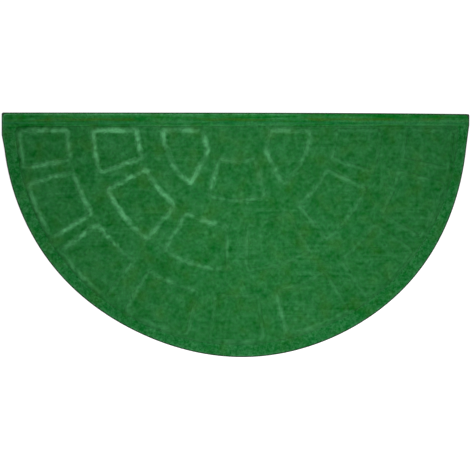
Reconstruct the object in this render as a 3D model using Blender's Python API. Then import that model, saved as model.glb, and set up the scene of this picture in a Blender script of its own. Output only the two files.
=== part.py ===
"""Half round doormat: a felted face with raised paving stones, bonded to a dark rubber backing.

Metres, +Z up. The straight edge runs along X on the +Y side, and the curve bulges towards -Y.
Outlines are drawn about the centre of the stone rings, and angles are measured from +X down
towards -Y. Each object's location then brings the middle of the mat over the origin, with the
underside of the backing on Z = 0.
"""

import math

import bmesh
import bpy
from mathutils import Vector

# Outline of the mat: a half circle that was trimmed a little unevenly. Its shallow lobes are given
# as how many would go round a full circle, the direction of one of them and the height.
CURVE_RADIUS = 0.3729
CURVE_CENTRE = Vector((0.0001, 0.0036))
CURVE_LOBES = (
    (3, math.radians(58), 0.0028),
    (7, math.radians(-14), 0.0007),
)
CURVE_START = math.radians(6)
CURVE_STEPS = 84

# Short upright sides above the curve, and the straight edge, which falls off towards the right
LEFT_SIDE_X = -0.3773
LEFT_SIDE_FOOT_Y = -0.0130
RIGHT_SIDE_X = 0.3729
RIGHT_SIDE_FOOT_Y = 0.0030
STRAIGHT_EDGE_Y = 0.0227
STRAIGHT_EDGE_FALL = 0.0025
STRAIGHT_EDGE_BEND = 4
STRAIGHT_STEPS = 10
OUTLINE_CORNER_RADIUS = 0.0025

# Heights above the floor
BACKING_TOP = 0.0020
FELT_UNDERSIDE = 0.0023
FELT_EDGE_TOP = 0.0046
BORDER_TOP = 0.0063
FIELD_TOP = 0.0060
GROOVE_FLOOR = 0.0051
RIDGE_TOP = 0.0073

# The felt stops short of the backing, which shows as a narrow dark rim around it
RIM_WIDTH = 0.0016
RIM_CHAMFER = 0.0004

# The felt's edge rolls over to the border in two steps, given as width and rise
EDGE_ROLL = (
    (0.0009, (BORDER_TOP - FELT_EDGE_TOP) * 0.70),
    (0.0018, (BORDER_TOP - FELT_EDGE_TOP) * 0.30),
)

# Pressed groove between the border and the stones, a half disc whose centre lies a little above
# the rings' centre
GROOVE_RISE = 0.0050
GROOVE_RADIUS = 0.3560
GROOVE_LINE_Y = 0.0018
GROOVE_BANK = 0.0008
GROOVE_BED = 0.0012
GROOVE_CORNER_RADIUS = 0.0070
GROOVE_STEPS = 72
GROOVE_PROFILE = (
    (GROOVE_BANK, GROOVE_FLOOR - BORDER_TOP),
    (GROOVE_BED, 0.0),
    (GROOVE_BANK, FIELD_TOP - GROOVE_FLOOR),
)

# A stone is drawn by one raised ridge along its outline
RIDGE_WIDTH = 0.0072
RIDGE_BANK = 0.0017
RIDGE_PROFILE = (
    (RIDGE_BANK, RIDGE_TOP - FIELD_TOP),
    (RIDGE_WIDTH - 2 * RIDGE_BANK, 0.0),
    (RIDGE_BANK, FIELD_TOP - RIDGE_TOP),
)
STONE_CORNER_RADIUS = 0.0078
CORNER_STEPS = 3
SHARP_TURN = math.radians(25)
ARC_PITCH = 0.0145

# Inner and outer circle of each ring of stones, as a radius at the middle of the ridge and the rise
# of its centre above the rings' centre. The outermost circle runs along the groove.
RINGS = {
    "outer": ((0.2716, 0), (0.3487, GROOVE_RISE)),
    "middle": ((0.1599, 0), (0.2308, 0)),
    "heart": ((0.0575, 0), (0.1192, 0)),
}

# Level line that the top of the first stones follows, and half the upright joint between the
# two lowest stones of the middle ring
LEVEL = (0, 0.0062)
UPRIGHT = (90, -0.0157)

# Stones of the right half. A side is a straight line with a direction in degrees and an offset
# from the rings' centre: (ring, first side, last side)
HALF_STONES = (
    ("outer", LEVEL, (11.2, 0)),
    ("outer", (15.4, 0), (31.0, 0)),
    ("outer", (35.1, 0), (52.5, 0)),
    ("outer", (58.7, 0), (76.6, 0)),
    ("middle", LEVEL, (18.6, 0)),
    ("middle", (25.7, 0), (51.7, 0)),
    ("middle", (59.6, 0), UPRIGHT),
)

# Stones that sit across the axis, given by their first side alone: (ring, first side)
MIDDLE_STONES = (
    ("outer", (82.9, 0)),
    ("heart", (74.4, -0.0133)),
)

# Shield stone on each side of the heart, as the outer foot of its ridge
SHIELD_RADIUS = 0.1221
SHIELD_TOP_Y = -0.0026
SHIELD_TIP_ANGLE = math.radians(53.4)
SHIELD_WAIST = (0.0421, -0.0379)
SHIELD_SHOULDER_X = 0.0527

# The right half of the stones was pressed a little narrower: how far its far end is drawn in
RIGHT_DRAW_IN = 0.0042

# Two points count as level with each other within this height
LEVEL_TOLERANCE = 1e-6

FELT_COLOUR = (0.016, 0.130, 0.028, 1.0)
FELT_ROUGHNESS = 0.95
RUBBER_COLOUR = (0.012, 0.014, 0.012, 1.0)
RUBBER_ROUGHNESS = 0.75


def on_circle(radius, angle):
    """Point at a radius and an angle measured from +X down towards -Y."""
    return Vector((radius * math.cos(angle), -radius * math.sin(angle)))


def arc(radius, start, end, rise=0):
    """Points along a circle whose centre lies above the rings' centre by the rise, ends included."""
    steps = max(1, round(radius * abs(end - start) / ARC_PITCH))
    centre = Vector((0, rise))
    return [centre + on_circle(radius, start + (end - start) * i / steps) for i in range(steps + 1)]


def rounded(points, radius):
    """The closed outline with each sharp corner replaced by a short arc of the given radius."""
    result = []
    count = len(points)
    for i, corner in enumerate(points):
        to_last = (points[i - 1] - corner).normalized()
        to_next = (points[(i + 1) % count] - corner).normalized()
        opening = to_last.angle(to_next)
        if math.pi - opening < SHARP_TURN:
            result.append(corner)
            continue
        bisector = (to_last + to_next).normalized()
        centre = corner + bisector * radius / math.sin(opening / 2)
        reach = radius / math.tan(opening / 2)
        first = corner + to_last * reach - centre
        last = corner + to_next * reach - centre
        for step in range(CORNER_STEPS + 1):
            result.append(centre + radius * first.slerp(last, step / CORNER_STEPS))
    return result


def mat_outline(margin):
    """Uneven outline of the mat, moved inwards by the given margin."""
    sweep = math.pi - 2 * CURVE_START
    points = []
    for i in range(CURVE_STEPS + 1):
        angle = CURVE_START + sweep * i / CURVE_STEPS
        lobes = sum(height * math.cos(count * (angle - way)) for count, way, height in CURVE_LOBES)
        points.append(CURVE_CENTRE + on_circle(CURVE_RADIUS + lobes - margin, angle))
    left = LEFT_SIDE_X + margin
    right = RIGHT_SIDE_X - margin
    points.append(Vector((left, LEFT_SIDE_FOOT_Y)))
    for i in range(STRAIGHT_STEPS + 1):
        share = i / STRAIGHT_STEPS
        fall = STRAIGHT_EDGE_FALL * share ** STRAIGHT_EDGE_BEND
        points.append(Vector((left + (right - left) * share, STRAIGHT_EDGE_Y - margin - fall)))
    points.append(Vector((right, RIGHT_SIDE_FOOT_Y)))
    return rounded(points, OUTLINE_CORNER_RADIUS)


def groove_outline():
    """Half disc that the groove's outer bank follows."""
    first = math.asin((GROOVE_RISE - GROOVE_LINE_Y) / GROOVE_RADIUS)
    sweep = math.pi - 2 * first
    centre = Vector((0, GROOVE_RISE))
    angles = [first + sweep * i / GROOVE_STEPS for i in range(GROOVE_STEPS + 1)]
    points = [centre + on_circle(GROOVE_RADIUS, angle) for angle in angles]
    width = points[0].x - points[-1].x
    for i in range(1, STRAIGHT_STEPS):
        points.append(points[GROOVE_STEPS] + Vector((width * i / STRAIGHT_STEPS, 0)))
    return rounded(points, GROOVE_CORNER_RADIUS)


def side_angle(side, shift, radius, rise):
    """Angle, about a circle's own centre, at which a stone's side, moved over by the shift, meets it."""
    direction, offset = math.radians(side[0]), side[1]
    return direction + math.asin((offset + shift + rise * math.cos(direction)) / radius)


def stone_outline(ring, first, last):
    """Outer foot of the ridge around a stone that lies between two sides of a ring."""
    half = RIDGE_WIDTH / 2
    (inner, inner_rise), (outer, outer_rise) = RINGS[ring]
    near = (inner - half, inner_rise)
    far = (outer + half, outer_rise)
    points = arc(far[0], side_angle(first, -half, *far), side_angle(last, half, *far), far[1])
    points += arc(near[0], side_angle(last, half, *near), side_angle(first, -half, *near), near[1])
    return rounded(points, STONE_CORNER_RADIUS)


def shield_outline():
    """Outer foot of the ridge around the right-hand shield."""
    top = math.asin(-SHIELD_TOP_Y / SHIELD_RADIUS)
    points = arc(SHIELD_RADIUS, top, SHIELD_TIP_ANGLE)
    points.append(Vector(SHIELD_WAIST))
    points.append(Vector((SHIELD_SHOULDER_X, SHIELD_TOP_Y)))
    return rounded(points, STONE_CORNER_RADIUS)


def drawn_in(outline):
    """The outline of a right-hand stone, drawn in the more the further it lies from the axis."""
    return [Vector((p.x - RIGHT_DRAW_IN * (p.x / GROOVE_RADIUS) ** 3, p.y)) for p in outline]


def mirrored(outline):
    """The outline seen in a mirror that stands along the Y axis."""
    return [Vector((-point.x, point.y)) for point in reversed(outline)]


def all_stones():
    """Every stone's outline: both halves, then the stones across the axis."""
    half = [stone_outline(ring, first, last) for ring, first, last in HALF_STONES]
    half.append(shield_outline())
    outlines = [drawn_in(outline) for outline in half] + [mirrored(outline) for outline in half]
    for ring, (direction, offset) in MIDDLE_STONES:
        last = (180 - direction, -offset)
        outlines.append(stone_outline(ring, (direction, offset), last))
    return outlines


def flat_face(bm, outline, height):
    """One face over the outline, facing up."""
    face = bm.faces.new([bm.verts.new((point.x, point.y, height)) for point in outline])
    face.normal_update()
    if face.normal.z < 0:
        face.normal_flip()
    return face


def step_in(bm, face, profile):
    """Inset the face once for each width and rise, which draws the profile around its edge."""
    for width, rise in profile:
        bmesh.ops.inset_region(bm, faces=[face], thickness=width, depth=rise,
                               use_boundary=True, use_even_offset=True)
    return face


def fill_level(bm, height):
    """Close the flat area between all open loops that lie at one height."""
    rim = [edge for edge in bm.edges
           if edge.is_boundary and all(abs(vert.co.z - height) < LEVEL_TOLERANCE for vert in edge.verts)]
    bmesh.ops.triangle_fill(bm, use_beauty=True, edges=rim, normal=(0, 0, 1))


def close_below(bm, height):
    """Drop a wall from the open outline down to the height, and close the underside there."""
    outline = [edge for edge in bm.edges if edge.is_boundary]
    for part in bmesh.ops.extrude_edge_only(bm, edges=outline)["geom"]:
        if isinstance(part, bmesh.types.BMVert):
            part.co.z = height
    fill_level(bm, height)


def material(name, colour, roughness):
    """Plain non-metallic finish."""
    finish = bpy.data.materials.new(name)
    finish.use_nodes = True
    shader = finish.node_tree.nodes["Principled BSDF"]
    shader.inputs["Base Color"].default_value = colour
    shader.inputs["Roughness"].default_value = roughness
    shader.inputs["Metallic"].default_value = 0.0
    return finish


def add_object(name, bm, finish, middle):
    """Turn the mesh into an object whose location brings the mat's middle over the origin."""
    bmesh.ops.recalc_face_normals(bm, faces=bm.faces)
    mesh = bpy.data.meshes.new(name)
    bm.to_mesh(mesh)
    bm.free()
    mesh.materials.append(finish)
    piece = bpy.data.objects.new(name, mesh)
    piece.location = (-middle.x, -middle.y, 0)
    bpy.context.scene.collection.objects.link(piece)


def build_backing(middle):
    """Rubber sheet, a little wider than the felt, with its upper edge broken."""
    bm = bmesh.new()
    top = flat_face(bm, mat_outline(0), BACKING_TOP - RIM_CHAMFER)
    step_in(bm, top, ((RIM_CHAMFER, RIM_CHAMFER),))
    close_below(bm, 0)
    rubber = material("rubber", RUBBER_COLOUR, RUBBER_ROUGHNESS)
    add_object("rubber_backing", bm, rubber, middle)


def build_face(middle):
    """Felted face in one piece: rolled edge, border, groove, field and the ridged stones."""
    bm = bmesh.new()
    border = step_in(bm, flat_face(bm, mat_outline(RIM_WIDTH), FELT_EDGE_TOP), EDGE_ROLL)
    field = step_in(bm, flat_face(bm, groove_outline(), BORDER_TOP), GROOVE_PROFILE)
    bmesh.ops.delete(bm, geom=[border, field], context="FACES_ONLY")
    fill_level(bm, BORDER_TOP)
    for outline in all_stones():
        step_in(bm, flat_face(bm, outline, FIELD_TOP), RIDGE_PROFILE)
    fill_level(bm, FIELD_TOP)
    close_below(bm, FELT_UNDERSIDE)
    felt = material("felt", FELT_COLOUR, FELT_ROUGHNESS)
    add_object("pile_face", bm, felt, middle)


def main():
    for old in list(bpy.data.objects):
        bpy.data.objects.remove(old, do_unlink=True)
    rim = mat_outline(0)
    xs = [point.x for point in rim]
    ys = [point.y for point in rim]
    middle = Vector(((min(xs) + max(xs)) / 2, (min(ys) + max(ys)) / 2))
    build_backing(middle)
    build_face(middle)


main()
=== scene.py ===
"""Half round doormat: a green felted face with raised paving stones on a dark rubber backing.

Metres, +Z up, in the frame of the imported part: the straight edge runs along X on the +Y side.
"""

import math

import bmesh
import bpy
import numpy as np
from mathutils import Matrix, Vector, geometry, kdtree, noise


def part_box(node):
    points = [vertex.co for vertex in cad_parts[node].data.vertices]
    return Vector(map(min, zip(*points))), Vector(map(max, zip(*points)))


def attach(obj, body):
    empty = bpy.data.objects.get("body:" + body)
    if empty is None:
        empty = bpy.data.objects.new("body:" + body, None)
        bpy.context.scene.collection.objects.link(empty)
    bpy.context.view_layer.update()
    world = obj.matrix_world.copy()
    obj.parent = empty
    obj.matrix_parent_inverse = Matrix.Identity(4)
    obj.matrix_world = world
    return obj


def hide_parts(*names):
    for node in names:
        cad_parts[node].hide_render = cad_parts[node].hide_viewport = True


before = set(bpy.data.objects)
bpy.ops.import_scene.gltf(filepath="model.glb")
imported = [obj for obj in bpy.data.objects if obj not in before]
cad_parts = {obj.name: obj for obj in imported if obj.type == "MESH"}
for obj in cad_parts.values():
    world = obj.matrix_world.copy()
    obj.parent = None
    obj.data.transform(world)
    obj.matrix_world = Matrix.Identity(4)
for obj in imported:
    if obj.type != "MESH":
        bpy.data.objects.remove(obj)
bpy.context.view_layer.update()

# Rubber backing
# A thin sheet of black nitrile rubber, cut to the half round and heat-bonded under the felt. It is
# matt and faintly grained, and its cut edge shows as the narrow dark rim around the mat.

RUBBER_DEEP = (0.006, 0.020, 0.008, 1.0)
RUBBER_DUSTY = (0.020, 0.060, 0.026, 1.0)
RUBBER_DUST = {"size": 0.018, "octaves": 4.0}
RUBBER_DUST_RANGE = (0.35, 0.75)
RUBBER_DUST_SHARE = 0.8
RUBBER_PEBBLE = {"size": 0.0012, "octaves": 2.0}
RUBBER_ROUGHNESS = 0.68
RUBBER_DUST_ROUGHNESS = 0.2
RUBBER_SHINE = 0.35
RUBBER_BUMP = {"strength": 0.5, "depth": 0.0002}


class Link:
    """One output in a material. Sums on it add Math nodes, and node() adds any other node."""

    def __init__(self, tree, socket=None):
        self.tree = tree
        self.socket = socket

    def node(self, kind, settings, sockets, output=0):
        """Add a node: its settings come first, then the values or links of its sockets."""
        made = self.tree.nodes.new(kind)
        for name, value in settings.items():
            setattr(made, name, value)
        for name, value in sockets.items():
            if isinstance(name, int):
                socket = made.inputs[name]
            else:
                socket = next(s for s in made.inputs if s.enabled and s.name == name)
            if isinstance(value, Link):
                self.tree.links.new(value.socket, socket)
            else:
                socket.default_value = value
        shown = [socket for socket in made.outputs if socket.enabled]
        return Link(self.tree, shown[output] if shown else None)

    def maths(self, operation, first, second):
        return self.node("ShaderNodeMath", {"operation": operation}, {0: first, 1: second})

    def __add__(self, other):
        return self.maths("ADD", self, other)

    __radd__ = __add__

    def __sub__(self, other):
        return self.maths("SUBTRACT", self, other)

    def __rsub__(self, other):
        return self.maths("SUBTRACT", other, self)

    def __mul__(self, other):
        return self.maths("MULTIPLY", self, other)

    __rmul__ = __mul__


def new_finish(name):
    """An empty material and the link that starts its nodes."""
    finish = bpy.data.materials.new(name)
    finish.use_nodes = True
    finish.node_tree.nodes.clear()
    return finish, Link(finish.node_tree)


def place_on(start):
    """Position on the piece, in metres."""
    return start.node("ShaderNodeTexCoord", {}, {}, output=3)


def grain(start, place, size, octaves=0.0, rough=0.5):
    """Soft random value from 0 to 1, whose largest lumps have about the given size."""
    settings = {"noise_dimensions": "3D", "normalize": True}
    sockets = {"Vector": place, "Scale": 1 / size, "Detail": octaves, "Roughness": rough}
    return start.node("ShaderNodeTexNoise", settings, sockets)


def ramp(start, value, low, high):
    """0 below the low value, 1 above the high one, and a smooth rise between."""
    settings = {"interpolation_type": "SMOOTHSTEP", "clamp": True}
    return start.node("ShaderNodeMapRange", settings, {"Value": value, 1: low, 2: high, 3: 0.0, 4: 1.0})


def mix(start, share, first, second):
    """Blend of two colours."""
    return start.node("ShaderNodeMix", {"data_type": "RGBA"}, {"Factor": share, "A": first, "B": second})


def bump(start, height, strength, depth):
    """Normal that follows the height."""
    sockets = {"Height": height, "Strength": strength, "Distance": depth}
    return start.node("ShaderNodeBump", {}, sockets)


def surface(start, sockets):
    """Close the material with its shader."""
    shader = start.node("ShaderNodeBsdfPrincipled", {}, sockets)
    start.node("ShaderNodeOutputMaterial", {}, {"Surface": shader})


def rubber_finish():
    """Matt black rubber with a fine grain and dust from the felt."""
    finish, start = new_finish("matt_rubber")
    place = place_on(start)
    dust = ramp(start, grain(start, place, **RUBBER_DUST), *RUBBER_DUST_RANGE)
    pebble = grain(start, place, **RUBBER_PEBBLE)
    surface(start, {
        "Base Color": mix(start, RUBBER_DUST_SHARE * dust, RUBBER_DEEP, RUBBER_DUSTY),
        "Roughness": RUBBER_ROUGHNESS + RUBBER_DUST_ROUGHNESS * dust,
        "Specular IOR Level": RUBBER_SHINE,
        "Normal": bump(start, pebble, **RUBBER_BUMP),
    })
    return finish


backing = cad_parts["rubber_backing"]
backing.data.materials.clear()
backing.data.materials.append(rubber_finish())

# Felt face
# One layer of needled polypropylene felt, dyed green. A heated press has rolled its edge over, sunk
# a thin groove inside the border, and left the outline of each paving stone standing as a ridge.

MERGE_DISTANCE = 0.00001
SHORTEST_STEP = 0.0006
LEVEL_TOLERANCE = 0.00002
UNDERSIDE = 0.0023
EDGE_LEVEL = 0.0046
BORDER_LEVEL = 0.0063
FIELD_LEVEL = 0.0060
STONE_SPACING = 0.030

# Pitch of the outlines and of the flats, and how an outline is eased and wanders
OUTLINE_PITCH = 0.0024
OUTLINE_EASING = 2
EDGE_PITCH = 0.0020
EDGE_EASING = 5
FLAT_PITCH = 0.0023
UNDERSIDE_PITCH = 0.0120
SCATTER = 0.2
RIM_CLEARANCE = 0.76
FILL_SEED = 5
WANDER = 0.00030
WANDER_LENGTH = 0.016
WANDER_SEED = 7

# Profiles as steps inwards: width, rise, paleness reached and painted shade reached
EDGE_ROLL = (
    (0.0003, 0.00060, 0.15, 0.3),
    (0.0004, 0.00050, 0.35, 0.0),
    (0.0006, 0.00035, 0.55, 0.0),
    (0.0008, 0.00020, 0.50, 0.0),
    (0.0009, 0.00005, 0.05, 0.0),
)
GROOVE = (
    (0.0004, -0.00025, 0.0, 0.6),
    (0.0005, -0.00050, 0.0, 0.9),
    (0.0004, -0.00040, 0.0, 1.0),
    (0.0004, -0.00005, 0.0, 1.0),
    (0.0004, 0.00040, 0.0, 1.0),
    (0.0004, 0.00035, 0.0, 0.9),
    (0.0003, 0.00015, 0.0, 0.6),
)
RIDGE_BANK = (
    (0.0004, 0.00020, 0.70, 0.2),
    (0.0006, 0.00045, 0.85, 0.0),
    (0.0007, 0.00040, 1.00, 0.0),
    (0.0009, 0.00020, 1.00, 0.0),
    (0.0010, 0.00005, 1.00, 0.0),
)

# Paleness and painted shade at the outline of each
EDGE_MARKS = (0.0, 0.6)
GROOVE_MARKS = (0.0, 0.5)
RIDGE_FOOT_MARKS = (0.55, 0.3)

# Lumps of the needled surface and beads on the ridges: size and height
LUMPS = ((0.019, 0.00018), (0.0072, 0.00022), (0.0034, 0.00009))
CREST_BEADS = (0.0062, 0.00020)

# Where the ridges are paler, first whole stones and then single sides: x, y, radius and share
PALER_RIDGES_EVERYWHERE = 0.09
PALER_RIDGE_SPOTS = (
    (-0.306, 0.139, 0.050, 0.34),
    (-0.282, 0.053, 0.050, 0.54),
    (-0.221, -0.037, 0.050, 0.22),
    (-0.116, -0.110, 0.050, 0.08),
    (-0.190, 0.139, 0.050, 0.62),
    (-0.149, 0.054, 0.050, 0.94),
    (-0.057, -0.012, 0.050, 0.28),
    (-0.076, 0.139, 0.045, 0.66),
    (0.002, 0.086, 0.045, 0.16),
    (0.081, 0.139, 0.045, 0.38),
    (0.153, 0.054, 0.050, 0.22),
    (0.121, -0.110, 0.050, 0.10),
    (-0.269, 0.144, 0.024, 0.24),
    (-0.303, 0.114, 0.024, 0.18),
    (-0.309, 0.167, 0.024, 0.18),
    (-0.248, 0.067, 0.024, 0.15),
    (-0.200, -0.010, 0.024, 0.34),
    (-0.251, -0.004, 0.026, 0.42),
    (-0.248, -0.065, 0.016, 0.30),
    (-0.159, 0.144, 0.024, 0.40),
    (-0.195, 0.167, 0.028, 0.52),
    (-0.226, 0.133, 0.024, 0.14),
    (-0.178, 0.030, 0.024, 0.15),
    (-0.117, 0.165, 0.018, 0.30),
    (-0.073, 0.082, 0.018, 0.40),
    (-0.046, 0.139, 0.018, 0.12),
    (-0.036, 0.090, 0.014, 0.35),
    (-0.067, -0.045, 0.026, 0.26),
    (-0.049, 0.022, 0.022, 0.16),
    (-0.166, -0.100, 0.020, 0.26),
    (-0.066, -0.128, 0.018, 0.14),
    (0.063, 0.110, 0.022, 0.20),
    (0.108, 0.122, 0.020, 0.12),
    (0.176, 0.090, 0.024, 0.14),
    (0.075, -0.126, 0.022, 0.24),
    (0.121, -0.140, 0.024, 0.12),
)

# The groove's arc and its straight line, where the border starts
GROOVE_CENTRE = (0.0022, 0.1785)
GROOVE_RADIUS = 0.3546
GROOVE_LINE_Y = 0.1739

# How the groove's painted shade is scaled from one x to another: on the straight line from darkening at
# its left end to painted light on the right, on the curve painted light throughout, more to the right
GROOVE_REACH = 0.004
GROOVE_SHADE_TURNS_X = (-0.34, -0.10)
STRAIGHT_GROOVE_SHADE = (1.4, -1.8)
CURVE_GROOVE_SHADE = (-0.8, -2.3)

# How pale the rolled edge is along the curve, and along the straight edge from one x to another
CURVE_EDGE_PALE = 0.4
EDGE_DULLS_X = (0.03, 0.12)
STRAIGHT_EDGE_PALE = (1.0, 0.0)

# Cut size of the felt, and where its top and its underside lie in its UV map
MAP_SIDE = 0.81
TOP_MIDDLE = (0.5, 0.75)
UNDERSIDE_MIDDLE = (0.5, 0.25)

FELT_DEEP = (0.0002, 0.0960, 0.0085, 1.0)
FELT_PALE = (0.088, 0.345, 0.138, 1.0)
FELT_FRESH = (0.0000, 0.1400, 0.0100, 1.0)
FELT_OLIVE = (0.036, 0.128, 0.010, 1.0)
FELT_TEAL = (0.010, 0.150, 0.055, 1.0)
FELT_ROUGHNESS = 0.93
FELT_SHINE = 0.05
FELT_BUMP = {"strength": 0.15, "depth": 0.0006}

# Random patterns of the felt: the size of their lumps, and what they are made of
CLOUD = {"size": 0.0450, "octaves": 1.0, "rough": 0.6}
MOTTLE = {"size": 0.0125, "octaves": 1.0, "rough": 0.9}
FLECKS = {"size": 0.0056}
SPECKS = {"size": 0.0046, "octaves": 1.0, "rough": 0.9}
BEADS = {"size": 0.0120, "octaves": 1.0, "rough": 0.7}
STREAKS = {"size": 0.0045, "octaves": 1.0, "rough": 0.6}
STREAKY_PLACES = {"size": 0.050}
OLIVE_PLACES = {"size": 0.0070}
HUE = {"size": 0.026, "octaves": 1.0}

# How some of them are squeezed along the mat or shifted, so that no two are alike
UNSQUEEZED = (1.0, 1.0, 1.0)
STREAK_SQUEEZE = (0.05, 1.0, 1.0)
STREAKY_SQUEEZE = (0.6, 1.0, 1.0)
OLIVE_SQUEEZE = (0.15, 1.0, 1.0)
FLECK_SHIFT = (0.0, 0.53, 0.0)
OLIVE_SHIFT = (0.0, 0.21, 0.0)
HUE_SHIFT = (0.37, 0.0, 0.0)

# Where each pattern starts and where it is full
BEAD_RANGE = (0.32, 0.66)
STREAKY_RANGE = (0.50, 0.66)
OLIVE_LINE_RANGE = (0.44, 0.60)
OLIVE_RANGE = (0.50, 0.75)
TEAL_RANGE = (0.25, 0.50)

# Paleness of the plain felt, and what each pattern, border and mark adds to it
FELT_BODY = 0.165
CLOUD_PALE = 0.13
MOTTLE_PALE = 0.48
FLECK_PALE = 0.15
SPECK_PALE = 0.85
STRAIGHT_PALE = 0.04
BORDER_DEEP = 0.010
STRAIGHT_STREAK_PALE = 0.75
FIELD_STREAK_PALE = 0.30
RIDGE_MARK_PALE = 0.32
RIDGE_BEAD_PALE = 0.84
# Painted shade: how far the shade mark darkens the felt in the groove, at the ridges' feet and along the
# rolled edge; a negative mark paints light instead
PAINTED_SHADE_DEEP = 0.05

# Long streaks along the straight border: the middle of each and its half width
FRESH_STREAK = (0.1905, 0.0065)
OLIVE_STREAK = (0.1845, 0.0044)
TEAL_STREAK = (0.1790, 0.0036)

# Shares of the fresh, olive and teal dye: on its streak, on the borders and by hue
FRESH_ON_STREAK = 0.5
FRESH_ON_STRAIGHT = 0.25
FRESH_ON_BORDER = 0.45
OLIVE_ON_STREAK = 0.65
OLIVE_BY_HUE = 0.24
TEAL_ON_STREAK = 0.42
TEAL_LEFT_BY_OLIVE = 0.6
TEAL_ON_CURVE = 0.10
TEAL_BY_HUE = 0.10

# On the right of the straight border a dull streak and a bright one, which sink to the right
DULL_STREAK = (0.1935, 0.0045)
BRIGHT_STREAK = (0.1855, 0.0050)
DULL_DEEP = 0.10
BRIGHT_PALE = 0.07
RIGHT_STREAKS_X = (0.03, 0.18)
SINKING_X = (0.03, 0.36)
SINKING = 0.0050


def merged_copy(node):
    """A copy of a solid's mesh with its loose triangles joined."""
    bm = bmesh.new()
    bm.from_mesh(node.data)
    bmesh.ops.remove_doubles(bm, verts=bm.verts, dist=MERGE_DISTANCE)
    return bm


def at_level(part, height):
    """Whether all of an edge or a face lies at one height."""
    return all(abs(vert.co.z - height) < LEVEL_TOLERANCE for vert in part.verts)


def loops_at(bm, height):
    """Closed rows of vertices along the open edges at one height, anticlockwise, the longest first."""
    loose = {edge: True for edge in bm.edges if edge.is_boundary and at_level(edge, height)}
    loops = []
    while loose:
        edge = next(iter(loose))
        vert = edge.verts[0]
        verts = []
        length = 0
        turned = 0
        while edge:
            del loose[edge]
            after = edge.other_vert(vert)
            verts.append(vert)
            length += edge.calc_length()
            turned += vert.co.x * after.co.y - vert.co.y * after.co.x
            vert = after
            edge = next((other for other in vert.link_edges if other in loose), None)
        loops.append((length, verts if turned > 0 else verts[::-1]))
    loops.sort(key=lambda loop: loop[0], reverse=True)
    return [verts for length, verts in loops]


def solid_outlines():
    """The felt's outline, the groove's and each stone's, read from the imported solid."""
    solid = merged_copy(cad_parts["pile_face"])
    levels = (UNDERSIDE, BORDER_LEVEL, FIELD_LEVEL)
    flats = [face for face in solid.faces if any(at_level(face, level) for level in levels)]
    bmesh.ops.delete(solid, geom=flats, context="FACES_ONLY")
    felt = loops_at(solid, UNDERSIDE)[0]
    groove = loops_at(solid, BORDER_LEVEL)[1]
    stones = []
    centres = []
    for verts in loops_at(solid, FIELD_LEVEL)[1:]:
        centre = sum((vert.co for vert in verts), Vector()) / len(verts)
        if all((centre - other).length > STONE_SPACING for other in centres):
            stones.append(verts)
            centres.append(centre)
    outlines = [[vert.co.xy.copy() for vert in verts] for verts in (felt, groove, *stones)]
    solid.free()
    return outlines


def eased(points, pitch, easing, wander):
    """The outline at even steps of about one pitch, its corners eased and its line a little unsteady."""
    ring = np.array([*points, points[0]])
    along = np.append(0, np.cumsum(np.linalg.norm(np.diff(ring, axis=0), axis=1)))
    steps = np.linspace(0, along[-1], round(along[-1] / pitch), endpoint=False)
    even = np.column_stack([np.interp(steps, along, ring[:, axis]) for axis in (0, 1)])
    for _ in range(easing):
        even = (np.roll(even, 1, axis=0) + 2 * even + np.roll(even, -1, axis=0)) / 4
    moved = []
    for x, y in even:
        drift = noise.noise_vector(Vector((x, y, 0)) / WANDER_LENGTH)
        moved.append((x + wander * drift.x, y + wander * drift.y))
    return moved


def start_face(bm, outline, height, marks):
    """One face over the outline, facing up, with its marks on the outline."""
    face = bm.faces.new([bm.verts.new((x, y, height)) for x, y in outline])
    face.normal_update()
    if face.normal.z < 0:
        face.normal_flip()
    mark(bm, face, marks)
    return face


def mark(bm, face, marks):
    """Write the paleness and the shade on a face's corners."""
    for name, value in zip(("pale", "shade"), marks):
        layer = bm.verts.layers.float[name]
        for vert in face.verts:
            vert[layer] = value


def press(bm, face, profile):
    """Inset the face once for each step of a profile, and close up its corners before they fold."""
    for width, rise, pale, shade in profile:
        bmesh.ops.inset_region(bm, faces=[face], thickness=width, depth=rise,
                               use_boundary=True, use_even_offset=True)
        mark(bm, face, (pale, shade))
        ring = list(face.verts)
        bmesh.ops.remove_doubles(bm, verts=ring, dist=SHORTEST_STEP)
        around = [other for vert in ring if vert.is_valid for other in vert.link_faces]
        face = max(around, key=lambda other: len(other.verts))
    return face


def over_and_down(bank, foot):
    """A bank and, behind its crest, the same bank going down to the foot again."""
    marks = [step[2:] for step in bank[:-1]]
    down = [(width, -rise, *reached)
            for (width, rise, *_), reached in zip(reversed(bank), reversed([foot, *marks]))]
    return [*bank, *down]


def even_points(low, high, pitch, draw):
    """Points over a rectangle in offset rows, each a little out of place."""
    xs = np.arange(low.x, high.x, pitch)
    ys = np.arange(low.y, high.y, pitch * math.sqrt(3) / 2)
    x, y = np.meshgrid(xs, ys)
    x[1::2] += pitch / 2
    points = np.stack([x, y], axis=-1).reshape(-1, 2)
    return points + draw.uniform(-SCATTER * pitch, SCATTER * pitch, points.shape)


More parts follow.
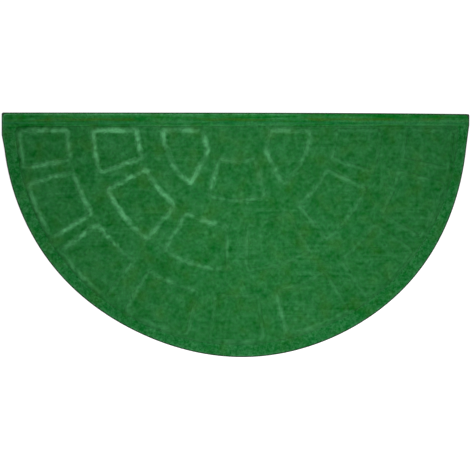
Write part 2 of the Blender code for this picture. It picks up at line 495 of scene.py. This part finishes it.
def fill_even(bm, height, pitch):
    """Fill the level area between the open loops at a height with even triangles."""
    loops = loops_at(bm, height)
    rim = [vert for verts in loops for vert in verts]
    rim_places = kdtree.KDTree(len(rim))
    for index, vert in enumerate(rim):
        rim_places.insert(vert.co, index)
    rim_places.balance()
    low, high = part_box("pile_face")
    places = [vert.co.xy for vert in rim]
    for x, y in even_points(low, high, pitch, np.random.default_rng(FILL_SEED)):
        if rim_places.find((x, y, height))[2] > RIM_CLEARANCE * pitch:
            places.append(Vector((x, y)))
    first = 0
    rings = []
    for verts in loops:
        rings.append(range(first, first + len(verts)))
        first += len(verts)
    made = geometry.delaunay_2d_cdt(places, [], rings, 1, LEVEL_TOLERANCE)
    coords, _, triangles, sources, _, rings_around = made
    verts = [None] * len(coords)
    for index, came_from in enumerate(sources):
        if came_from and came_from[0] < len(rim):
            verts[index] = rim[came_from[0]]
    for triangle, around in zip(triangles, rings_around):
        if len(around) % 2 == 0:
            continue
        for index in triangle:
            if verts[index] is None:
                verts[index] = bm.verts.new((*coords[index], height))
        bm.faces.new([verts[index] for index in triangle])


def close_below(bm, height):
    """Drop a wall from the open outline down to the height, and close the underside there."""
    outline = [edge for edge in bm.edges if edge.is_boundary and at_level(edge, EDGE_LEVEL)]
    for part in bmesh.ops.extrude_edge_only(bm, edges=outline)["geom"]:
        if isinstance(part, bmesh.types.BMVert):
            part.co.z = height
    fill_even(bm, height, UNDERSIDE_PITCH)


def lumpy(bm):
    """Lift and sink the face by its needled lumps, and its crests by their beads."""
    pale = bm.verts.layers.float["pale"]
    for vert in bm.verts:
        if vert.co.z < EDGE_LEVEL - LEVEL_TOLERANCE:
            continue
        rise = sum(height * noise.noise(vert.co / size) for size, height in LUMPS)
        size, height = CREST_BEADS
        rise += height * vert[pale] * noise.noise(vert.co / size)
        vert.co.z += rise


def ridge_pale_share(x, y):
    """How pale the ridges are at a place."""
    share = PALER_RIDGES_EVERYWHERE
    for spot_x, spot_y, radius, strength in PALER_RIDGE_SPOTS:
        distance = math.hypot(x - spot_x, y - spot_y)
        share += strength * math.exp(-(distance / radius) ** 2)
    return min(share, 1)


def fade_marks(bm):
    """Fade the ridges' paleness and the groove's painted shade by their place, turning that shade to
    painted light in places, and note what belongs to the two borders.
    """
    pale = bm.verts.layers.float["pale"]
    shade = bm.verts.layers.float["shade"]
    ridge = bm.verts.layers.float.new("ridge")
    border = bm.verts.layers.float.new("border")
    straight = bm.verts.layers.float.new("straight")
    for vert in bm.verts:
        x, y = vert.co.xy
        out = math.dist((x, y), GROOVE_CENTRE) - GROOVE_RADIUS
        above = y - GROOVE_LINE_Y
        beyond = out > 0 or above > 0
        vert[border] = float(beyond)
        vert[straight] = float(above > 0)
        vert[ridge] = 0.0 if beyond else vert[pale]
        if not beyond:
            vert[pale] *= ridge_pale_share(x, y)
        elif above < 0:
            vert[pale] *= CURVE_EDGE_PALE
        else:
            vert[pale] *= np.interp(x, EDGE_DULLS_X, STRAIGHT_EDGE_PALE)
        # The groove's painted shade, scaled by place: darkest at the straight line's left end; where the
        # scale turns negative, further right and along the whole curve, it paints light over the shading
        # of the groove's own relief
        if abs(above) < GROOVE_REACH:
            vert[shade] *= np.interp(x, GROOVE_SHADE_TURNS_X, STRAIGHT_GROOVE_SHADE)
        elif abs(out) < GROOVE_REACH and above < 0:
            vert[shade] *= np.interp(x, GROOVE_SHADE_TURNS_X, CURVE_GROOVE_SHADE)


def bake_map(mesh, name="OFBake"):
    """Plan of the mat as a UV map: the top and the walls above, the underside below it."""
    layer = mesh.uv_layers.new(name=name)
    for face in mesh.polygons:
        below = face.normal.z < -0.5
        middle = Vector(UNDERSIDE_MIDDLE if below else TOP_MIDDLE)
        for corner in face.loop_indices:
            vert = mesh.vertices[mesh.loops[corner].vertex_index]
            spread = vert.normal.xy.normalized() * max(0, EDGE_LEVEL - vert.co.z)
            place = vert.co.xy if below else vert.co.xy + spread
            layer.data[corner].uv = middle + place / MAP_SIDE


def read_mark(start, name):
    """A value that the face and its fibres carry at each place."""
    return start.node("ShaderNodeAttribute", {"attribute_name": name}, {}, output=2)


def moved(start, place, scale, shift=(0.0, 0.0, 0.0)):
    """The place squeezed and shifted, for a pattern of its own."""
    sockets = {"Vector": place, "Scale": scale, "Location": shift}
    return start.node("ShaderNodeMapping", {"vector_type": "POINT"}, sockets)


def near_line(start, y, line, half):
    """1 on a line along the mat, falling to 0 at half its width."""
    off = start.node("ShaderNodeMath", {"operation": "ABSOLUTE"}, {0: y - line})
    return 1 - ramp(start, off, 0.0, half)


def right_streaks(start, x, y):
    """Paleness added by the two streaks that sink to the right."""
    sinking_y = y + SINKING * ramp(start, x, *SINKING_X)
    bright = BRIGHT_PALE * near_line(start, sinking_y, *BRIGHT_STREAK)
    dull = DULL_DEEP * near_line(start, sinking_y, *DULL_STREAK)
    return (bright - dull) * ramp(start, x, *RIGHT_STREAKS_X)


def paleness(start, place, lumps, x, y):
    """How pale the felt is: its plain body, its patterns, its paler ridges, and the painted shade of the
    groove, the ridges' feet and the rolled edge, which turns to painted light where its mark is
    negative.
    """
    border = read_mark(start, "border")
    straight = read_mark(start, "straight")
    cloud = grain(start, place, **CLOUD) - 0.5
    specks = grain(start, place, **SPECKS) - 0.5
    beads = ramp(start, grain(start, place, **BEADS), *BEAD_RANGE)
    streaks = grain(start, moved(start, place, STREAK_SQUEEZE), **STREAKS) - 0.5
    streaky_places = grain(start, moved(start, place, STREAKY_SQUEEZE), **STREAKY_PLACES)
    streaky = ramp(start, streaky_places, *STREAKY_RANGE)
    body = FELT_BODY + CLOUD_PALE * cloud + lumps + read_mark(start, "tint")
    borders = STRAIGHT_PALE * straight - BORDER_DEEP * border
    specked = SPECK_PALE * (border - straight) * specks
    combed = (STRAIGHT_STREAK_PALE * straight + FIELD_STREAK_PALE * (1 - border) * streaky) * streaks
    ridge_paleness = read_mark(start, "pale") * (RIDGE_MARK_PALE + RIDGE_BEAD_PALE * beads)
    painted_shade_deep = PAINTED_SHADE_DEEP * read_mark(start, "shade")
    sinking = right_streaks(start, x, y) * straight
    return body + borders + specked + combed + sinking + ridge_paleness - painted_shade_deep


def felt_finish():
    """Matt green felt: paler on its ridges, more in some places than in others, and darker with painted
    shade in the groove and at the feet of the ridges and the edge.
    """
    finish, start = new_finish("needled_felt")
    place = place_on(start)
    x = start.node("ShaderNodeSeparateXYZ", {}, {"Vector": place}, output=0)
    y = start.node("ShaderNodeSeparateXYZ", {}, {"Vector": place}, output=1)
    border = read_mark(start, "border")
    straight = read_mark(start, "straight")
    mottle = grain(start, place, **MOTTLE) - 0.5
    flecks = grain(start, moved(start, place, UNSQUEEZED, FLECK_SHIFT), **FLECKS) - 0.5
    lumps = MOTTLE_PALE * mottle + FLECK_PALE * flecks

    on_fresh = near_line(start, y, *FRESH_STREAK)
    fresh = FRESH_ON_STREAK * on_fresh + FRESH_ON_STRAIGHT * straight + FRESH_ON_BORDER * border
    ground = mix(start, fresh, FELT_DEEP, FELT_FRESH)
    dyed = mix(start, paleness(start, place, lumps, x, y), ground, FELT_PALE)

    hue = grain(start, moved(start, place, UNSQUEEZED, HUE_SHIFT), **HUE)
    olive_places = grain(start, moved(start, place, OLIVE_SQUEEZE, OLIVE_SHIFT), **OLIVE_PLACES)
    patchy = ramp(start, olive_places, *OLIVE_LINE_RANGE)
    olive = (OLIVE_BY_HUE * ramp(start, hue, *OLIVE_RANGE)
             + OLIVE_ON_STREAK * patchy * near_line(start, y, *OLIVE_STREAK))
    teal = (TEAL_BY_HUE * (1 - ramp(start, hue, *TEAL_RANGE)) + TEAL_ON_CURVE * (border - straight)
            + TEAL_ON_STREAK * (1 - TEAL_LEFT_BY_OLIVE * patchy) * near_line(start, y, *TEAL_STREAK))
    surface(start, {
        "Base Color": mix(start, teal, mix(start, olive, dyed, FELT_OLIVE), FELT_TEAL),
        "Roughness": FELT_ROUGHNESS,
        "Specular IOR Level": FELT_SHINE,
        "Normal": bump(start, mottle + flecks, **FELT_BUMP),
    })
    return finish


bm = bmesh.new()
bm.verts.layers.float.new("pale")
bm.verts.layers.float.new("shade")
noise.seed_set(WANDER_SEED)
felt_outline, groove_outline, *stone_outlines = solid_outlines()
rim_line = eased(felt_outline, EDGE_PITCH, EDGE_EASING, 0.0)
border = press(bm, start_face(bm, rim_line, EDGE_LEVEL, EDGE_MARKS), EDGE_ROLL)
groove_line = eased(groove_outline, OUTLINE_PITCH, OUTLINE_EASING, WANDER)
field = press(bm, start_face(bm, groove_line, BORDER_LEVEL, GROOVE_MARKS), GROOVE)
bmesh.ops.delete(bm, geom=[border, field], context="FACES_ONLY")
fill_even(bm, BORDER_LEVEL, FLAT_PITCH)
for points in stone_outlines:
    stone_line = eased(points, OUTLINE_PITCH, OUTLINE_EASING, WANDER)
    stone = start_face(bm, stone_line, FIELD_LEVEL, RIDGE_FOOT_MARKS)
    inside = press(bm, stone, over_and_down(RIDGE_BANK, RIDGE_FOOT_MARKS))
    bmesh.ops.delete(bm, geom=[inside], context="FACES_ONLY")
fill_even(bm, FIELD_LEVEL, FLAT_PITCH)
close_below(bm, UNDERSIDE)
bmesh.ops.recalc_face_normals(bm, faces=bm.faces)
lumpy(bm)
fade_marks(bm)
mesh = bpy.data.meshes.new("felt_face")
bm.to_mesh(mesh)
bm.free()
mesh.shade_smooth()
bake_map(mesh)
mesh.materials.append(felt_finish())
felt_face = bpy.data.objects.new("felt_face", mesh)
bpy.context.scene.collection.objects.link(felt_face)
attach(felt_face, "root")
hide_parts("pile_face")

# Loose fibres
# The coarse ends of the felt's own fibres, pulled up by the needles and by wear. They lie every way,
# stand higher on the ridges than in the pressed field, and are part of the felt.

FIBRE_FACES = np.array(((0, 3, 2), (1, 2, 3), (0, 1, 3), (0, 2, 1)))
FIBRE_SMOOTH = (True, True, False, False)
FIBRE_ROOT_DEPTH = 0.00020

# Spread of the fibres' sizes, as shares, and the middle and spread of their own paleness
FIBRE_LENGTHS = (0.6, 1.4)
FIBRE_WIDTHS = (0.7, 1.3)
FIBRE_ARCHES = (0.4, 1.6)
FIBRE_LIFTS = (-1, 2)
FIBRE_TINT = (0.02, 0.020)

# Fibres root where the face looks up, clear of the underside, and on a ridge from this paleness on
UPWARD = 0.2
ROOT_CLEARANCE = 0.0001
RIDGE_PALE = 0.3
FIELD_PARTS_X = 0.1

# Pieces: name, number of fibres, length, width, rise of the middle, rise of the tip and seed
FIBRES = (
    ("border_fibres", 34000, 0.0034, 0.00042, 0.00028, 0.0002, 11),
    ("ridge_fibres", 42000, 0.0026, 0.00040, 0.00032, 0.0003, 12),
    ("field_fibres_left", 36000, 0.0032, 0.00042, 0.00022, 0.0001, 13),
    ("field_fibres_middle", 36000, 0.0032, 0.00042, 0.00022, 0.0001, 14),
    ("field_fibres_right", 36000, 0.0032, 0.00042, 0.00022, 0.0001, 15),
)


def face_arrays(mesh):
    """Corner places, corner marks, normals and areas of the mesh's triangles."""
    mesh.calc_loop_triangles()
    triangles = np.zeros(len(mesh.loop_triangles) * 3, dtype=np.int32)
    mesh.loop_triangles.foreach_get("vertices", triangles)
    triangles = triangles.reshape(-1, 3)
    places = np.zeros(len(mesh.vertices) * 3)
    mesh.vertices.foreach_get("co", places)
    corners = places.reshape(-1, 3)[triangles]
    marks = {}
    for name in ("pale", "shade", "border", "straight", "ridge"):
        values = np.zeros(len(mesh.vertices))
        mesh.attributes[name].data.foreach_get("value", values)
        marks[name] = values[triangles]
    across = np.cross(corners[:, 1] - corners[:, 0], corners[:, 2] - corners[:, 0])
    size = np.linalg.norm(across, axis=1)
    return corners, marks, across / np.maximum(size, 1e-12)[:, None], size / 2


corners, marks, normals, areas = face_arrays(mesh)
on_top = (normals[:, 2] > UPWARD) & (corners[:, :, 2].min(axis=1) > UNDERSIDE + ROOT_CLEARANCE)
on_border = marks["border"].mean(axis=1) > 0.5
on_ridge = ~on_border & (marks["ridge"].mean(axis=1) > RIDGE_PALE)
in_field = ~on_border & ~on_ridge
middle_x = corners[:, :, 0].mean(axis=1)
stretches = {
    "border_fibres": on_border,
    "ridge_fibres": on_ridge,
    "field_fibres_left": in_field & (middle_x < -FIELD_PARTS_X),
    "field_fibres_middle": in_field & (abs(middle_x) <= FIELD_PARTS_X),
    "field_fibres_right": in_field & (middle_x > FIELD_PARTS_X),
}


def unit(rows):
    """The rows as directions of length 1."""
    return rows / np.linalg.norm(rows, axis=1)[:, None]


def strew(name, count, length, width, rise, tip_rise, seed):
    """Fibres of one stretch of the face, joined: each has a tail, a tip and two sides."""
    draw = np.random.default_rng(seed)
    chance = areas * on_top * stretches[name]
    chosen = draw.choice(len(areas), count, p=chance / chance.sum())
    share = draw.dirichlet((1, 1, 1), count)
    root = (corners[chosen] * share[:, :, None]).sum(axis=1)
    up = normals[chosen]
    turn = draw.uniform(0, math.tau, count)
    heading = np.column_stack([np.cos(turn), np.sin(turn), np.zeros(count)])
    ahead = unit(heading - up * (heading * up).sum(axis=1)[:, None])
    aside = np.cross(up, ahead)
    half = ahead * (length / 2 * draw.uniform(*FIBRE_LENGTHS, count))[:, None]
    wide = aside * (width / 2 * draw.uniform(*FIBRE_WIDTHS, count))[:, None]
    arch = up * (rise * draw.uniform(*FIBRE_ARCHES, count))[:, None]
    lift = up * (tip_rise * draw.uniform(*FIBRE_LIFTS, count))[:, None]
    places = np.stack([root - half - up * FIBRE_ROOT_DEPTH, root + half + lift,
                       root + wide + arch, root - wide + arch], axis=1)
    faces = FIBRE_FACES[None] + 4 * np.arange(count)[:, None, None]
    mesh = bpy.data.meshes.new(name)
    mesh.from_pydata(places.reshape(-1, 3), [], faces.reshape(-1, 3))
    for mark_name in ("pale", "shade", "border", "straight"):
        values = (marks[mark_name][chosen] * share).sum(axis=1)
        attribute = mesh.attributes.new(mark_name, "FLOAT", "POINT")
        attribute.data.foreach_set("value", np.repeat(values, 4))
    attribute = mesh.attributes.new("tint", "FLOAT", "POINT")
    attribute.data.foreach_set("value", np.repeat(draw.normal(*FIBRE_TINT, count), 4))
    layer = mesh.uv_layers.new(name="OFBake")
    plan = places.reshape(-1, 3)[faces.reshape(-1), :2] / MAP_SIDE + TOP_MIDDLE
    layer.data.foreach_set("uv", plan.reshape(-1))
    mesh.polygons.foreach_set("use_smooth", np.tile(FIBRE_SMOOTH, count))
    mesh.materials.append(felt_face.data.materials[0])
    fibres = bpy.data.objects.new(name, mesh)
    bpy.context.scene.collection.objects.link(fibres)
    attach(fibres, "root")
    return fibres


all_fibres = [strew(*row) for row in FIBRES]

# Floor, light and camera
# A pale floor under even studio light, seen straight from above.

FLOOR_HALF = 6.0
FLOOR_GAP = 0.0002
FLOOR_COLOUR = (0.60, 0.60, 0.60, 1.0)
FLOOR_GLOW = 0.60
FLOOR_ROUGHNESS = 0.9
WORLD_STRENGTH = 0.52
WHITE = (1.0, 1.0, 1.0, 1.0)
KEY_PLACE = (0.05, -0.03, 0.66)
KEY_SIZE = 0.3
KEY_POWER = 4.05
CAMERA_HEIGHT = 2.4
CAMERA_MIDDLE = (-0.0008, -0.0003)
PICTURE_WIDTH = 0.7546
SENSOR_WIDTH = 36.0


def floor_finish():
    """Pale matt studio table, lit from inside as well."""
    finish, start = new_finish("pale_floor")
    surface(start, {
        "Base Color": FLOOR_COLOUR,
        "Roughness": FLOOR_ROUGHNESS,
        "Specular IOR Level": 0.0,
        "Emission Color": WHITE,
        "Emission Strength": FLOOR_GLOW,
    })
    return finish


bm = bmesh.new()
bmesh.ops.create_grid(bm, x_segments=1, y_segments=1, size=FLOOR_HALF)
bmesh.ops.translate(bm, verts=bm.verts, vec=(0, 0, -FLOOR_GAP))
mesh = bpy.data.meshes.new("floor")
bm.to_mesh(mesh)
bm.free()
mesh.materials.append(floor_finish())
floor = bpy.data.objects.new("floor", mesh)
bpy.context.scene.collection.objects.link(floor)

world = bpy.data.worlds.new("studio")
world.use_nodes = True
backdrop = world.node_tree.nodes["Background"]
backdrop.inputs["Color"].default_value = WHITE
backdrop.inputs["Strength"].default_value = WORLD_STRENGTH
bpy.context.scene.world = world

key = bpy.data.lights.new("key", "AREA")
key.shape = "SQUARE"
key.size = KEY_SIZE
key.energy = KEY_POWER
key_light = bpy.data.objects.new("key", key)
key_light.location = KEY_PLACE
key_light.visible_camera = False
bpy.context.scene.collection.objects.link(key_light)

lens = bpy.data.cameras.new("camera")
lens.sensor_width = SENSOR_WIDTH
lens.lens = SENSOR_WIDTH * CAMERA_HEIGHT / PICTURE_WIDTH
camera = bpy.data.objects.new("camera", lens)
camera.location = (*CAMERA_MIDDLE, CAMERA_HEIGHT)
bpy.context.scene.collection.objects.link(camera)
bpy.context.scene.camera = camera
bpy.context.scene.view_settings.view_transform = "Standard"
